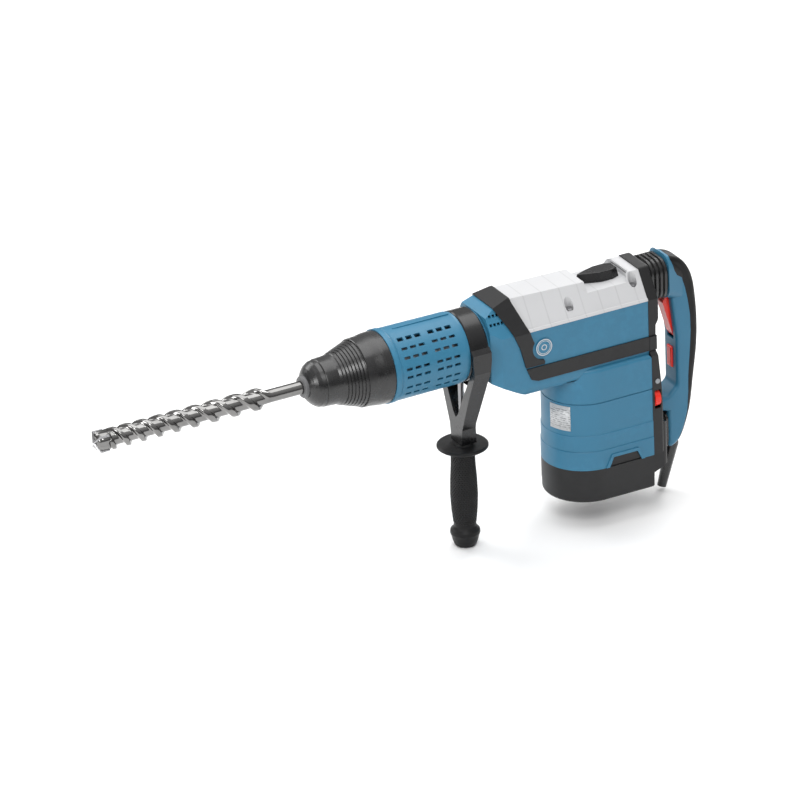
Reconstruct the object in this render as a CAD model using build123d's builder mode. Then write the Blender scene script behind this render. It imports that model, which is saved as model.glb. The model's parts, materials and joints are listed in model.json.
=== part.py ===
"""Electric demolition hammer with a rotary drive, as separate pieces, in millimetres.

The origin is on the spindle axis, in the front plane of the barrel.
+X runs back along the spindle to the rear handle, +Z is up, and -Y is the badge side.
"""

from build123d import *
import os
from math import acos, cos, hypot, pi, radians, sin, tan

os.makedirs("parts", exist_ok=True)

# ---- driving dimensions -------------------------------------------------------------
# Barrel and nose
BARREL_R = 50
BARREL_END = 113
NOSE_TIP = -117
NECK_R = 44
CLAMP_END = 141
SLEEVE_TRAVEL = 12

# Housing
WALL = 3
HOUSING_FRONT = 145
HOUSING_REAR = 383
HALF_WIDTH = 50
SHOULDER_Z = 18
TOP_Z = 60
TOP_HALF_WIDTH = 22
HOUSING_BOTTOM = -78
COVER_FRONT = 180
STRIPE_TOP = -35
STRIPE_BOTTOM = -55.5

# Motor column
MOTOR_X = 308
MOTOR_R = 57
MOTOR_TOP = -60
BASE_TOP = -208
CAP_TOP = -239.5
CAP_BOTTOM = -257

# Rear cover and handle
COVER_REAR = 400
LOWER_COVER_REAR = 411
HANDLE_FRONT = 430
BAR_FRONT = 445
HANDLE_HALF = 18
HEAD_HALF = 27

# Side handle
GRIP_X = 122
FLANGE_Z = -147
GRIP_BOTTOM = -296

# Tool, in the standard 18 mm shank
SHANK_R = 9
BIT_R = 16
BIT_TIP = -426
FLUTE_END = -167

# Gear train: module and teeth
MODULE = 1.5
MOTOR_TEETH = 10
CRANK_TEETH = 50
MIDDLE_TEETH = 20
BEVEL_MODULE = 2
RING_TEETH = 40
PINION_TEETH = 14
CRANK_X = MOTOR_X - MODULE * (MOTOR_TEETH + CRANK_TEETH) / 2
MIDDLE_X = CRANK_X - MODULE * (CRANK_TEETH + MIDDLE_TEETH) / 2
GEAR_LOW = -66
GEAR_HIGH = -56

# Hammer mechanism
CRANK_THROW = 11
ROD_LENGTH = 60
PISTON_R = 22
TUBE_R = 26
TUBE_END = 200
RUN = 0.05


# ---- shared shapes --------------------------------------------------------------------
def keep(builder, node):
    """Labels a finished sub-part and writes its file."""
    builder.part.label = node
    export_step(builder.part, f"parts/{node}.step")


def turned(axis, *outlines):
    """Solids of revolution. An outline is (distance along the axis, radius) points."""
    upright = abs(axis.direction.Z) > 0.5
    with BuildPart() as body:
        for outline in outlines:
            with BuildSketch(Plane.XZ):
                with BuildLine():
                    if upright:
                        Polyline([(axis.position.X + r, z) for z, r in outline], close=True)
                    else:
                        Polyline([(x, r) for x, r in outline], close=True)
                make_face()
            revolve(axis=axis)
    return body.part


def upright_axis(x):
    return Axis((x, 0, 0), (0, 0, 1))


def side_prism(points, half_width, offset_by=0):
    """A side-view outline, in X and Z, given the same width on both sides."""
    with BuildPart() as prism:
        with BuildSketch(Plane.XZ):
            with BuildLine():
                Polyline(points, close=True)
            make_face()
            if offset_by:
                offset(amount=offset_by)
        extrude(amount=half_width, both=True)
    return prism.part


def housing_block(grow):
    """The gear housing's outer form, grown by a distance: an upper facet on each side,
    a front that rises from the barrel neck, and rounded bottom corners."""
    with BuildPart() as block:
        with BuildSketch(Plane.YZ.offset(HOUSING_FRONT - grow)) as section:
            with BuildLine():
                Polyline(
                    (-HALF_WIDTH, HOUSING_BOTTOM),
                    (HALF_WIDTH, HOUSING_BOTTOM),
                    (HALF_WIDTH, SHOULDER_Z),
                    (TOP_HALF_WIDTH, TOP_Z),
                    (-TOP_HALF_WIDTH, TOP_Z),
                    (-HALF_WIDTH, SHOULDER_Z),
                    close=True,
                )
            make_face()
            rows = section.vertices().group_by(Axis.Y)
            fillet(rows[0], radius=16)
            fillet(rows[1], radius=9)
            fillet(rows[2], radius=6)
            if grow:
                offset(amount=grow)
        extrude(amount=HOUSING_REAR - HOUSING_FRONT + grow)
        with BuildSketch(Plane.XZ) as side:
            with BuildLine():
                Polyline(
                    (HOUSING_FRONT, -46),
                    (196, -75),
                    (208, HOUSING_BOTTOM),
                    (HOUSING_REAR + 20, HOUSING_BOTTOM),
                    (HOUSING_REAR + 20, TOP_Z - 6),
                    (184, TOP_Z),
                    (157, TOP_Z - 7.5),
                    (HOUSING_FRONT, 45),
                    close=True,
                )
            make_face()
            if grow:
                offset(amount=grow)
        extrude(amount=2 * HALF_WIDTH, both=True, mode=Mode.INTERSECT)
        with BuildSketch(Plane.XY):
            with BuildLine():
                Polyline(
                    (HOUSING_FRONT, 44),
                    (160, HALF_WIDTH),
                    (HOUSING_REAR + 20, HALF_WIDTH),
                    (HOUSING_REAR + 20, -HALF_WIDTH),
                    (160, -HALF_WIDTH),
                    (HOUSING_FRONT, -44),
                    close=True,
                )
            make_face()
            if grow:
                offset(amount=grow)
        extrude(amount=2 * HALF_WIDTH, both=True, mode=Mode.INTERSECT)
    return block.part


def motor_prism(grow, low, high):
    """The motor column's plan: half a circle in front and straight sides behind."""
    radius = MOTOR_R + grow
    back = HOUSING_REAR + min(grow, 0)
    with BuildPart() as prism:
        with BuildSketch(Plane.XY.offset(low)):
            with Locations((MOTOR_X, 0)):
                Circle(radius)
            with Locations(((MOTOR_X + back) / 2, 0)):
                Rectangle(back - MOTOR_X, 2 * radius)
            with Locations((MOTOR_X + radius + 100, 0)):
                Rectangle(200 + 2 * (MOTOR_X + radius - back), 2 * radius, mode=Mode.SUBTRACT)
        extrude(amount=high - low)
    return prism.part


def involute(angle):
    return tan(angle) - angle


def gear_outline(module, teeth, turn):
    """Points of a spur gear with 25 degree involute flanks and a fifth of backlash."""
    pressure = radians(25)
    pitch_r = module * teeth / 2
    base_r = pitch_r * cos(pressure)
    root_r = pitch_r - 1.15 * module
    tip_r = pitch_r + 0.85 * module
    start_r = max(base_r, root_r + 0.1)
    half_pitch_tooth = 0.40 * pi / teeth
    steps = 3
    radii = [start_r + (tip_r - start_r) * k / steps for k in range(steps + 1)]
    points = []
    for tooth in range(teeth):
        middle = radians(turn) + 2 * pi * tooth / teeth
        halves = [half_pitch_tooth + involute(pressure) - involute(acos(base_r / r)) for r in radii]
        flank = list(zip([root_r] + radii, [halves[0]] + halves))
        points += [(r * cos(middle - half), r * sin(middle - half)) for r, half in flank]
        points += [(r * cos(middle + half), r * sin(middle + half)) for r, half in reversed(flank)]
    return points


def spur_gear(x, module, teeth, turn, bore_r):
    with BuildPart() as gear:
        with BuildSketch(Plane((x, 0, GEAR_LOW))):
            with BuildLine():
                Polyline(gear_outline(module, teeth, turn), close=True)
            make_face()
            Circle(bore_r, mode=Mode.SUBTRACT)
        extrude(amount=GEAR_HIGH - GEAR_LOW)
    return gear.part


# ---- bevel pair geometry: both pitch cones meet where the two axes cross --------------
APEX = Vector(MIDDLE_X, 0, 0)
RING_R = BEVEL_MODULE * RING_TEETH / 2
PINION_R = BEVEL_MODULE * PINION_TEETH / 2
CONE = hypot(RING_R, PINION_R)
CONTACT = Vector(-PINION_R / CONE, 0, -RING_R / CONE)
INNER_SHARE = 0.78


def bevel_tooth(outward, addendum=0.85, dedendum=1.6):
    """One straight bevel tooth on the line of contact. It tapers towards the apex."""
    with BuildPart() as tooth:
        for share in (1, INNER_SHARE):
            size = share * BEVEL_MODULE
            plane = Plane(APEX + CONTACT * (CONE * share), x_dir=(0, 1, 0), z_dir=CONTACT)
            with BuildSketch(plane):
                with BuildLine():
                    Polyline(
                        (-0.36 * size, outward * addendum * size),
                        (0.36 * size, outward * addendum * size),
                        (0.95 * size, -outward * dedendum * size),
                        (-0.95 * size, -outward * dedendum * size),
                        close=True,
                    )
                make_face()
        loft(ruled=True)
    return tooth.part


# ======================= drilling tool and tool holder ================================
# Masonry drill: cross-cut carbide head, fluted body, shank with two closed grooves
drill_blank = turned(
    Axis.X,
    [
        (BIT_TIP + 24, 0), (BIT_TIP + 24, 12), (BIT_TIP + 30, 12), (FLUTE_END - 8, 12), (FLUTE_END, SHANK_R),
        (-23, SHANK_R), (-21, SHANK_R - 2), (-21, 0),
    ],
)
GROOVE_LOW = -69
GROOVE_HIGH = -47
with BuildPart() as drill_bit:
    add(drill_blank)
    for turn in (45, 135):
        with BuildSketch(Plane.XZ.rotated((turn, 0, 0))):
            with BuildLine():
                Polyline(
                    (BIT_TIP + 30, -BIT_R),
                    (BIT_TIP + 5, -BIT_R),
                    (BIT_TIP, -4),
                    (BIT_TIP, 4),
                    (BIT_TIP + 5, BIT_R),
                    (BIT_TIP + 30, BIT_R),
                    close=True,
                )
            make_face()
        extrude(amount=3.5, both=True)
    with Locations(((GROOVE_LOW + GROOVE_HIGH) / 2, 0, 0)):
        for side in (-1, 1):
            with Locations((0, side * 11.3, 0)):
                Box(GROOVE_HIGH - GROOVE_LOW, 7.4, 7.4, mode=Mode.SUBTRACT)
keep(drill_bit, "drill_bit")

# Hollow spindle: holds the shank in front and guides the striker and piston behind
spindle_blank = turned(
    Axis.X,
    [
        (-104, SHANK_R + RUN), (-20, SHANK_R + RUN), (-20, 14 + RUN), (34, 14 + RUN),
        (34, PISTON_R + RUN), (TUBE_END, PISTON_R + RUN), (TUBE_END, TUBE_R), (0, TUBE_R),
        (-6, 20), (-34, 20), (-34, 15), (-104, 15),
    ],
)
with BuildPart() as spindle:
    add(spindle_blank)
    with Locations((-62, 0, 0)):
        Box(12.6, 40, 7.2, mode=Mode.SUBTRACT)
    for place in (60, 82, 104):
        with Locations((place, 0, 0)):
            Cylinder(2, 80, mode=Mode.SUBTRACT)
keep(spindle, "spindle")

with BuildPart() as locking_rollers:
    for side in (-1, 1):
        with Locations(Location((-62, side * 11.3, 0), (0, 90, 0))):
            Cylinder(3.4, 12)
keep(locking_rollers, "locking_rollers")

with BuildPart() as shank_seal:
    add(turned(Axis.X, [(-117, 9.2), (-117, 14), (-115.5, 15.2), (-112, 15.2), (-112, 9.2)]))
keep(shank_seal, "shank_seal")

dust_cap_blank = turned(
    Axis.X,
    [
        (-112, 9.2), (-112, 17), (-110.5, 20), (-107.5, 24), (-103.5, 28), (-98.5, 31), (-93.2, 32),
        (-93.2, 15 + RUN), (-104, 15 + RUN), (-104, 9.2),
    ],
)
with BuildPart() as dust_cap:
    add(dust_cap_blank)
keep(dust_cap, "dust_cap")

# Locking sleeve: a tapered grip with a band of fine ribs, and a web that keeps the
# locking rollers down until the sleeve is drawn back
RIB_START = -69
RIB_PITCH = 4.4
RIBS = 7
sleeve_outline = [(-92.5, 24), (-92.5, 31.6), (-91.5, 32.6), (-74, 33.6), (RIB_START - 1.5, 34.6)]
for rib in range(RIBS):
    x = RIB_START + rib * RIB_PITCH
    r = 35.6 + 1.45 * rib
    sleeve_outline += [(x, r), (x + RIB_PITCH - 1.5, r + 0.8), (x + RIB_PITCH - 1.2, r - 0.6), (x + RIB_PITCH - 0.2, r)]
sleeve_outline += [(-37, 44.7), (-37, 40), (-42, 38), (-58, 29), (-58, 15.4), (-68, 15.4), (-68, 24)]
with BuildPart() as locking_sleeve:
    add(turned(Axis.X, sleeve_outline))
keep(locking_sleeve, "locking_sleeve")


def coil_spring(start, direction, length, radius, wire, turns):
    with BuildPart() as spring:
        with BuildLine() as coil:
            Helix(pitch=length / turns, height=length, radius=radius, center=start, direction=direction)
        with BuildSketch(Plane(origin=coil.line @ 0, z_dir=coil.line % 0)):
            Circle(wire)
        sweep(path=coil.line, is_frenet=True)
    return spring.part


with BuildPart() as sleeve_spring:
    add(coil_spring((-55.5, 0, 0), (1, 0, 0), 19, 17.6, 1.1, 4))
keep(sleeve_spring, "sleeve_spring")

# ======================= hammer mechanism =============================================
with BuildPart() as beat_piece:
    add(turned(Axis.X, [(-20, 0), (-20, 7), (-19, 8), (-1, 8), (2, 14), (26, 14), (29, 9), (43, 9), (44, 8), (44, 0)]))
keep(beat_piece, "beat_piece")

with BuildPart() as striker:
    add(turned(Axis.X, [
        (52, 0), (52, 10), (62, 12), (66, PISTON_R), (74, PISTON_R), (74, 20), (78, 20),
        (78, PISTON_R), (96, PISTON_R), (96, 0),
    ]))
keep(striker, "striker")

with BuildPart() as piston:
    add(turned(Axis.X, [
        (150, 0), (150, PISTON_R - 1), (151, PISTON_R), (153, PISTON_R), (153, 20.4), (156, 20.4),
        (156, PISTON_R), (205, PISTON_R), (205, 18.5), (157, 18.5), (157, 0),
    ]))
keep(piston, "piston")

PIN_X = CRANK_X - CRANK_THROW
WRIST_X = PIN_X - ROD_LENGTH
with BuildPart() as connecting_rod:
    with BuildSketch(Plane.XY.offset(-5)):
        with Locations((PIN_X, 0)):
            Circle(12)
        with Locations((WRIST_X, 0)):
            Circle(6)
        with Locations(((PIN_X + WRIST_X) / 2, 0)):
            Rectangle(ROD_LENGTH, 8)
        with Locations((PIN_X, 0)):
            Circle(6 + RUN, mode=Mode.SUBTRACT)
        with Locations((WRIST_X, 0)):
            Circle(3, mode=Mode.SUBTRACT)
    extrude(amount=10)
keep(connecting_rod, "connecting_rod")

with BuildPart() as wrist_pin:
    with Locations((WRIST_X, 0, 0)):
        Cylinder(3, 16)
keep(wrist_pin, "wrist_pin")

crank_axis = upright_axis(CRANK_X)
crank_blank = turned(
    crank_axis, [(GEAR_LOW, 0), (GEAR_LOW, 8), (-56, 8), (-56, 9), (-26, 9), (-26, 20), (-14, 20), (-14, 0)]
)
with BuildPart() as crankshaft:
    add(crank_blank)
    with Locations((PIN_X, 0, -4)):
        Cylinder(6, 24)
keep(crankshaft, "crankshaft")

with BuildPart() as crank_gear:
    add(spur_gear(CRANK_X, MODULE, CRANK_TEETH, 0, 8))
    with Locations((CRANK_X, 0, (GEAR_LOW + GEAR_HIGH) / 2)):
        with PolarLocations(22, 5):
            Cylinder(6, 12, mode=Mode.SUBTRACT)
keep(crank_gear, "crank_gear")

with BuildPart() as intermediate_gear:
    add(spur_gear(MIDDLE_X, MODULE, MIDDLE_TEETH, 180 / MIDDLE_TEETH, 5))
keep(intermediate_gear, "intermediate_gear")

# Bevel pinion, cut on the upper end of the intermediate shaft
PINION_BACK = 41.2
pinion_blank = turned(
    upright_axis(MIDDLE_X),
    [
        (GEAR_LOW, 0), (GEAR_LOW, 5), (-43, 5), (-43, 8), (-PINION_BACK, 11.8),
        (-PINION_BACK * INNER_SHARE, 11.8 * INNER_SHARE), (-PINION_BACK * INNER_SHARE, 0),
    ],
)
pinion_tooth = bevel_tooth(-1)
with BuildPart() as bevel_pinion_shaft:
    add(pinion_blank)
    add([
        pinion_tooth.rotate(upright_axis(MIDDLE_X), (tooth + 0.5) * 360 / PINION_TEETH)
        for tooth in range(PINION_TEETH)
    ])
keep(bevel_pinion_shaft, "bevel_pinion_shaft")

# Ring gear on the spindle's rear end
root_x = MIDDLE_X - PINION_R - 2.6
ring_blank = turned(
    Axis.X,
    [
        (186, TUBE_R), (186, 36), (root_x - 3, 41), (root_x, 39.4),
        (MIDDLE_X - (MIDDLE_X - root_x) * INNER_SHARE, 39.4 * INNER_SHARE), (TUBE_END, TUBE_R + 2), (TUBE_END, TUBE_R),
    ],
)
ring_tooth = bevel_tooth(1)
with BuildPart() as bevel_gear:
    add(ring_blank)
    add([ring_tooth.rotate(Axis.X, tooth * 360 / RING_TEETH) for tooth in range(RING_TEETH)])
keep(bevel_gear, "bevel_gear")

# ======================= barrel =======================================================
CASE_R = 40
BEARING_R = 36


def ball_bearing(axis, low, high, inner_r, outer_r, balls, ball_r):
    """Two grooved races and a ring of balls."""
    middle_r = (inner_r + outer_r) / 2
    middle = (low + high) / 2
    race = 0.24 * (outer_r - inner_r)
    gap = ball_r + 0.04
    with BuildPart() as races:
        add(turned(axis, [(low, inner_r), (low, inner_r + race), (high, inner_r + race), (high, inner_r)]))
        add(turned(axis, [(low, outer_r - race), (low, outer_r), (high, outer_r), (high, outer_r - race)]))
        plane = Plane(axis.position + axis.direction * middle, z_dir=axis.direction)
        with BuildSketch(Plane.XZ):
            if abs(axis.direction.Z) > 0.5:
                with Locations((axis.position.X + middle_r, middle)):
                    Circle(gap)
            else:
                with Locations((middle, middle_r)):
                    Circle(gap)
        revolve(axis=axis, mode=Mode.SUBTRACT)
        with Locations(plane):
            with PolarLocations(middle_r, balls):
                Sphere(ball_r)
    return races.part


SPINDLE_RUN = 0.03
with BuildPart() as spindle_bearings:
    add(ball_bearing(Axis.X, 8, 20, TUBE_R + SPINDLE_RUN, BEARING_R, 20, 3))
    add(ball_bearing(Axis.X, 128, 140, TUBE_R + SPINDLE_RUN, BEARING_R, 20, 3))
keep(spindle_bearings, "spindle_bearings")

with BuildPart() as hammer_case:
    add(turned(Axis.X, [
        (2, 28), (2, CASE_R), (150, CASE_R), (150, BEARING_R - 2), (140, BEARING_R - 2), (140, BEARING_R),
        (128, BEARING_R), (128, BEARING_R - 2), (20, BEARING_R - 2), (20, BEARING_R), (8, BEARING_R), (8, 28),
    ]))
keep(hammer_case, "hammer_case")

with BuildPart() as nose_collar:
    add(turned(Axis.X, [
        (-38, 45.3), (-38, 46.2), (-37, 46.9), (-25, 47.6), (-14, 49.2), (-10, 49.5), (0, 49.5),
        (0, CASE_R + RUN), (-4, CASE_R + RUN), (-4, 46), (-22, 46), (-22, 45.3),
    ]))
keep(nose_collar, "nose_collar")

VENT_LENGTH = 9
VENT_PITCH = 13
VENT_GROUPS = (16, 62)
VENT_ROWS = (28, 45, 60, 78, 91, 109, 124, 145)
barrel_blank = turned(
    Axis.X,
    [
        (0, CASE_R + RUN), (0, 51), (7, 51), (8, 50), (10, 49.4), (11, BARREL_R), (108, 49.2),
        (BARREL_END - 1, 48.4), (BARREL_END, 47.4), (BARREL_END, NECK_R), (HOUSING_FRONT, NECK_R),
        (HOUSING_FRONT, 41), (105, 41), (102, 46), (6, 46), (6, CASE_R + RUN),
    ],
)
with BuildPart() as barrel_shell:
    add(barrel_blank)
    with Locations((64, 0, BARREL_R - 1)):
        Box(84, 2.4, 3.6)
    for side in (-1, 1):
        for row, angle in enumerate(VENT_ROWS):
            height = 6 if row == 0 else 3.8
            for group in VENT_GROUPS:
                for slot in range(3):
                    x = group + slot * VENT_PITCH + VENT_LENGTH / 2
                    with Locations(Location((x, 0, 0), (side * angle, 0, 0))):
                        with Locations((0, 0, BARREL_R - 2)):
                            Box(VENT_LENGTH, height, 10, mode=Mode.SUBTRACT)
keep(barrel_shell, "barrel_shell")

# ======================= main housing =================================================
block_outer = housing_block(0)
block_inner = housing_block(-WALL)
cover_region = side_prism(
    [(COVER_FRONT, SHOULDER_Z), (HOUSING_REAR, SHOULDER_Z), (HOUSING_REAR, 90), (COVER_FRONT, 90)], 80
)
with BuildPart() as gear_housing:
    add(block_outer)
    add(block_inner, mode=Mode.SUBTRACT)
    add(cover_region, mode=Mode.SUBTRACT)
    with Locations((HOUSING_FRONT + 1, 0, 0)):
        Cylinder(CASE_R + RUN, 20, rotation=(0, 90, 0), mode=Mode.SUBTRACT)
    with Locations(((MOTOR_X - 50 + HOUSING_REAR) / 2, 0, HOUSING_BOTTOM)):
        Box(HOUSING_REAR - MOTOR_X + 50, 2 * (HALF_WIDTH - WALL), 4 * WALL, mode=Mode.SUBTRACT)
    for side in (-1, 1):
        for count, first, height in ((3, 151.5, 46), (4, 150, 36)):
            for hole in range(count):
                with Locations((first + 5.6 * hole, side * 36, height)):
                    Box(3.8, 34, 3.8, mode=Mode.SUBTRACT)
keep(gear_housing, "gear_housing")

BADGE_X = 222
BADGE_Z = -8.4

# Raised bumper band: runs diagonally over the housing's top and down both sides
band_slab = side_prism(
    [
        (151, 80), (160, 52), (173, 28), (186, -2), (194, STRIPE_TOP + 2.5), (222, STRIPE_TOP + 2.5),
        (223, STRIPE_TOP + 6), (212, -8), (206, 5), (200, 22), (188, 55), (182, 80),
    ],
    80,
)
with BuildPart() as band_clearance:
    add(housing_block(6))
    add(block_outer, mode=Mode.SUBTRACT)
    add(band_slab, mode=Mode.INTERSECT)

COVER_SCREW_Y = (37.5, 31.5)

# Top cover, with a ledge along its lower edge and the pocket for the mode lever
LEVER_X = 334
POCKET_FLOOR = 44
LEDGE_HEIGHT = 3.5
ledge_region = side_prism(
    [(COVER_FRONT, SHOULDER_Z), (HOUSING_REAR, SHOULDER_Z), (HOUSING_REAR, SHOULDER_Z + LEDGE_HEIGHT),
     (COVER_FRONT, SHOULDER_Z + LEDGE_HEIGHT)],
    80,
)
SCREW_SEATS = [
    (x, side * y, seat) for side in (-1, 1) for x, y, seat in ((269, COVER_SCREW_Y[0], 29), (370, COVER_SCREW_Y[1], 36))
]
with BuildPart() as screw_bosses:
    for x, y, seat in SCREW_SEATS:
        with Locations((x, y, seat + 10)):
            Cylinder(8.4, 25)
    add(block_outer, mode=Mode.INTERSECT)

with BuildPart() as top_cover:
    add(housing_block(1.2))
    add(ledge_region, mode=Mode.INTERSECT)
    add(block_outer)
    add(block_inner, mode=Mode.SUBTRACT)
    add(cover_region, mode=Mode.INTERSECT)
    add(band_clearance.part, mode=Mode.SUBTRACT)
    with BuildSketch(Plane.XY.offset(POCKET_FLOOR - WALL)):
        with Locations((LEVER_X, 0)):
            Rectangle(76, 60)
    extrude(amount=8)
    with Locations((LEVER_X, 0, POCKET_FLOOR + 20)):
        Box(68, 2 * HALF_WIDTH, 40, mode=Mode.SUBTRACT)
    with Locations((LEVER_X, 0, POCKET_FLOOR)):
        Cylinder(6 + RUN, 20, mode=Mode.SUBTRACT)
    add(screw_bosses.part)
    for x, y, seat in SCREW_SEATS:
        with Locations((x, y, seat + 15)):
            Cylinder(6.2, 30, mode=Mode.SUBTRACT)
        with Locations((x, y, seat)):
            Cylinder(2.2, 20, mode=Mode.SUBTRACT)
keep(top_cover, "top_cover")

with BuildPart() as bumper_band:
    add(housing_block(2.2))
    add(block_outer, mode=Mode.SUBTRACT)
    add(band_slab, mode=Mode.INTERSECT)
    with Locations((BADGE_X, 0, BADGE_Z)):
        Cylinder(17.5, 200, rotation=(90, 0, 0), mode=Mode.SUBTRACT)
keep(bumper_band, "bumper_band")

# Inlaid stripe and blank round badge, one of each on both sides
with BuildPart() as side_stripes:
    for side in (-1, 1):
        with BuildSketch(Plane.XZ.offset(-side * HALF_WIDTH)):
            with BuildLine():
                Polyline(
                    (195, STRIPE_TOP), (HOUSING_REAR, STRIPE_TOP), (HOUSING_REAR, STRIPE_BOTTOM),
                    (212, STRIPE_BOTTOM), (202, STRIPE_BOTTOM + 4), close=True,
                )
            make_face()
        extrude(amount=-side * 1.6)
keep(side_stripes, "side_stripes")

with BuildPart() as badge_discs:
    for side in (-1, 1):
        with BuildSketch(Plane.XZ.offset(-side * HALF_WIDTH)):
            with Locations((BADGE_X, BADGE_Z)):
                Circle(12.6)
        extrude(amount=-side * 1.8)
keep(badge_discs, "badge_discs")

# ======================= motor column =================================================
notch = side_prism([(313, BASE_TOP - 1), (320, BASE_TOP + 14), (357, BASE_TOP + 14), (364, BASE_TOP - 1)], 90)
STEP_Z = -157
FLARE_Z = -180
notch_frame = side_prism([(313, BASE_TOP - 1), (320, BASE_TOP + 14), (357, BASE_TOP + 14), (364, BASE_TOP - 1)], 90, 4.5)
with BuildPart() as frame_pads:
    add(motor_prism(3, BASE_TOP, BASE_TOP + 20))
    fillet(frame_pads.edges().group_by(Axis.Z)[-1], radius=1)
    add(notch_frame, mode=Mode.INTERSECT)

with BuildPart() as flare:
    add(motor_prism(1.6, BASE_TOP, FLARE_Z))
    chamfer(flare.edges().group_by(Axis.Z)[-1].filter_by(lambda edge: edge.center().X < HOUSING_REAR - 1), length=1.5)

with BuildPart() as step:
    add(motor_prism(0.9, FLARE_Z, STEP_Z))
    chamfer(step.edges().group_by(Axis.Z)[-1].filter_by(lambda edge: edge.center().X < HOUSING_REAR - 1), length=0.8)

with BuildPart() as groove_ring:
    add(motor_prism(2, -110.9, -109.1))
    add(motor_prism(-1, -112, -108), mode=Mode.SUBTRACT)
with BuildPart() as motor_housing:
    add(motor_prism(0, BASE_TOP, MOTOR_TOP))
    fillet(motor_housing.edges().group_by(Axis.Z)[-1], radius=5)
    add(step.part)
    add(flare.part)
    add(frame_pads.part)
    add(groove_ring.part, mode=Mode.SUBTRACT)
    add(motor_prism(-WALL, BASE_TOP, MOTOR_TOP - WALL), mode=Mode.SUBTRACT)
    add(block_outer, mode=Mode.SUBTRACT)
    add(notch, mode=Mode.SUBTRACT)
keep(motor_housing, "motor_housing")

with BuildPart() as motor_base:
    add(motor_prism(0, BASE_TOP, BASE_TOP + 20))
    add(notch, mode=Mode.INTERSECT)
    add(motor_prism(1.5, CAP_TOP, BASE_TOP))
    add(motor_prism(-WALL, CAP_TOP, BASE_TOP + 30), mode=Mode.SUBTRACT)
keep(motor_base, "motor_base")

with BuildPart() as base_cap:
    add(motor_prism(1, CAP_BOTTOM, CAP_TOP))
    fillet(base_cap.edges().group_by(Axis.Z)[0], radius=5)
    add(motor_prism(-WALL, CAP_BOTTOM + WALL, CAP_TOP), mode=Mode.SUBTRACT)
    with Locations((MOTOR_X, 0, CAP_BOTTOM + 6)):
        Cylinder(20, 8)
        with Locations((0, 0, 30)):
            Cylinder(17, 60, mode=Mode.SUBTRACT)
    for place, across in ((280, 34), (362, 44)):
        for side in (-1, 1):
            with Locations((place, side * across, CAP_BOTTOM)):
                Cylinder(5, 4, mode=Mode.SUBTRACT)
keep(base_cap, "base_cap")

motor_axis = upright_axis(MOTOR_X)
MOTOR_RUN = 0.03
with BuildPart() as armature_shaft:
    with BuildSketch(Plane((MOTOR_X, 0, GEAR_LOW - 2))):
        with BuildLine():
            Polyline(gear_outline(MODULE, MOTOR_TEETH, 180 / MOTOR_TEETH), close=True)
        make_face()
    extrude(amount=GEAR_HIGH - GEAR_LOW + 3)
    add(turned(motor_axis, [(-250, 0), (-250, 5), (-220, 5), (-220, 6), (GEAR_LOW - 2, 6), (GEAR_LOW - 2, 0)]))
keep(armature_shaft, "armature_shaft")

with BuildPart() as armature_core:
    add(turned(motor_axis, [(-180, 6), (-180, 22), (-172, 26), (-122, 26), (-114, 22), (-114, 6)]))
    with Locations((MOTOR_X, 0, -147)):
        with PolarLocations(25.2, 14):
            Box(3, 1.6, 50, mode=Mode.SUBTRACT)
keep(armature_core, "armature_core")

with BuildPart() as commutator:
    add(turned(motor_axis, [(-214, 6), (-214, 15), (-192, 15), (-192, 17), (-188, 17), (-188, 6)]))
    with Locations((MOTOR_X, 0, -203)):
        with PolarLocations(14.8, 28):
            Box(1.2, 0.6, 22, mode=Mode.SUBTRACT)
keep(commutator, "commutator")

with BuildPart() as cooling_fan:
    add(turned(motor_axis, [(-108, 6), (-108, 42), (-106, 42), (-106, 14), (-98, 14), (-98, 6)]))
    with Locations((MOTOR_X, 0, -103)):
        with PolarLocations(25.5, 12):
            Box(27, 1.6, 8)
keep(cooling_fan, "cooling_fan")

with BuildPart() as stator:
    add(turned(motor_axis, [(-178, 27.2), (-178, 50), (-116, 50), (-116, 27.2)]))
    for side in (-1, 1):
        with Locations((MOTOR_X, side * 44, -147)):
            Box(40, 20, 90, mode=Mode.SUBTRACT)
keep(stator, "stator")

with BuildPart() as motor_bracket:
    add(turned(motor_axis, [(-92, 16), (-92, 53.9), (-87, 53.9), (-87, 20), (-80, 20), (-80, 16)]))
    with Locations((MOTOR_X, 0, -90)):
        with PolarLocations(36, 8, 22.5):
            Cylinder(8, 20, mode=Mode.SUBTRACT)
keep(motor_bracket, "motor_bracket")

with BuildPart() as motor_bearings:
    add(ball_bearing(motor_axis, -92, -81, 6 + MOTOR_RUN, 16, 9, 2.4))
    add(ball_bearing(motor_axis, -251, -241, 5 + MOTOR_RUN, 17, 9, 2.8))
keep(motor_bearings, "motor_bearings")

BRUSH_Z = -204
with BuildPart() as brush_holders:
    for side in (-1, 1):
        with Locations((MOTOR_X, side * 33, BRUSH_Z)):
            Box(13, 30, 15)
            Box(8, 40, 10, mode=Mode.SUBTRACT)
    with Locations((MOTOR_X, 0, BRUSH_Z - 9)):
        with BuildSketch(Plane.XY.offset(BRUSH_Z - 11.5)):
            with Locations((MOTOR_X, 0)):
                Circle(53.9)
                Circle(20, mode=Mode.SUBTRACT)
        extrude(amount=4)
keep(brush_holders, "brush_holders")

with BuildPart() as carbon_brushes:
    for side in (-1, 1):
        with Locations((MOTOR_X, side * 24, BRUSH_Z)):
            Box(7.8, 17, 9.8)
keep(carbon_brushes, "carbon_brushes")

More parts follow.
